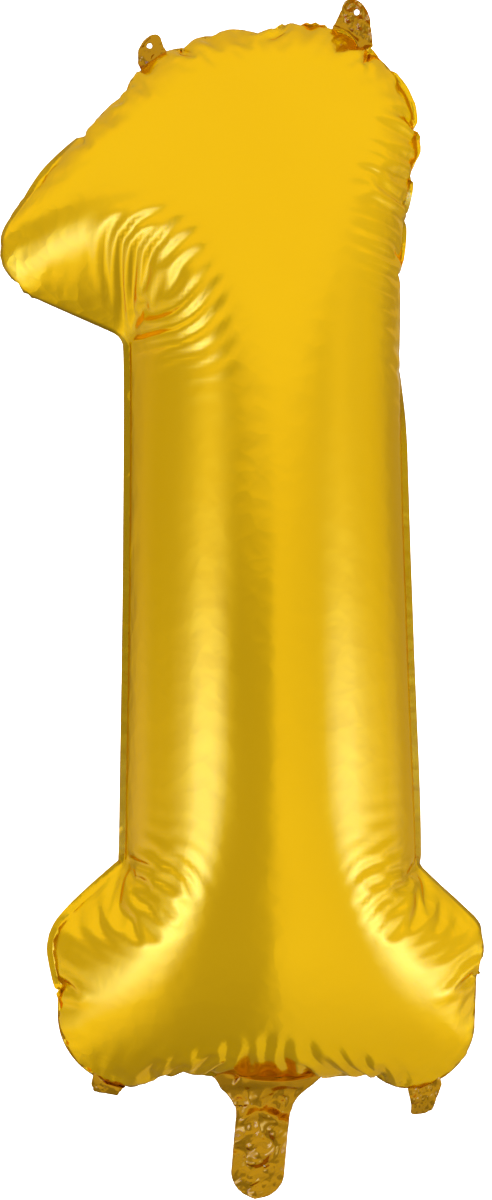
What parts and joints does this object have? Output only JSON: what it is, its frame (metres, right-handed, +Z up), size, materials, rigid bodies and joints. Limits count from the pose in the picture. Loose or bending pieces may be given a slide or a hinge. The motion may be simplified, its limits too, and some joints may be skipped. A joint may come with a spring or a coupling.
{
  "type": "foil number balloon",
  "caption": "Inflated metallised film balloon in the shape of the digit 1, with flexing hang tabs and a filling tail that holds a flat self-sealing valve.",
  "frame": {"origin": "on the level of the tail's lower end, under the middle of the whole width, in the plane where the two plies meet", "axes": "+Z up along the stem, front towards -Y, +X to the right seen from the front"},
  "size_m": [0.3433, 0.194, 0.8535],
  "materials": {
    "gold_foil": "mirror-bright gold metallised film, softly wrinkled",
    "valve_film": "clear limp film with a milky release coat"
  },
  "bodies": {
    "balloon": {"front_panel": "gold_foil", "back_panel": "gold_foil", "valve_front_film": "valve_film", "valve_back_film": "valve_film"},
    "tail": {"tail_front_ply": "gold_foil", "tail_back_ply": "gold_foil", "valve_inlet_front_film": "valve_film", "valve_inlet_back_film": "valve_film"},
    "hang_tab_top_left": {"hang_tab_top_left": "gold_foil"},
    "hang_tab_top_right": {"hang_tab_top_right": "gold_foil"},
    "hang_tab_bottom_left": {"hang_tab_bottom_left": "gold_foil"},
    "hang_tab_bottom_right": {"hang_tab_bottom_right": "gold_foil"}
  },
  "joints": [
    {"name": "top_left_tab_flex", "type": "hinge", "parent": "balloon", "child": "hang_tab_top_left", "pos_m": [-0.06659, 0, 0.81278], "axis": [0.8387, 0, 0.5446], "range_deg": [-90, 90], "stiffness_Nm_per_rad": 0.0001},
    {"name": "top_right_tab_flex", "type": "hinge", "parent": "balloon", "child": "hang_tab_top_right", "pos_m": [0.0777, 0, 0.82684], "axis": [0.866, 0, -0.5], "range_deg": [-90, 90], "stiffness_Nm_per_rad": 0.0001},
    {"name": "bottom_left_tab_flex", "type": "hinge", "parent": "balloon", "child": "hang_tab_bottom_left", "pos_m": [-0.09804, 0, 0.0791], "axis": [-0.9848, 0, 0.1736], "range_deg": [-90, 90], "stiffness_Nm_per_rad": 0.0001},
    {"name": "bottom_right_tab_flex", "type": "hinge", "parent": "balloon", "child": "hang_tab_bottom_right", "pos_m": [0.12821, 0, 0.07902], "axis": [-0.9848, 0, -0.1736], "range_deg": [-90, 90], "stiffness_Nm_per_rad": 0.0001},
    {"name": "tail_flex", "type": "hinge", "parent": "balloon", "child": "tail", "pos_m": [0.01358, 0, 0.066], "axis": [1, 0, 0], "range_deg": [-120, 120], "stiffness_Nm_per_rad": 0.0005}
  ]
}
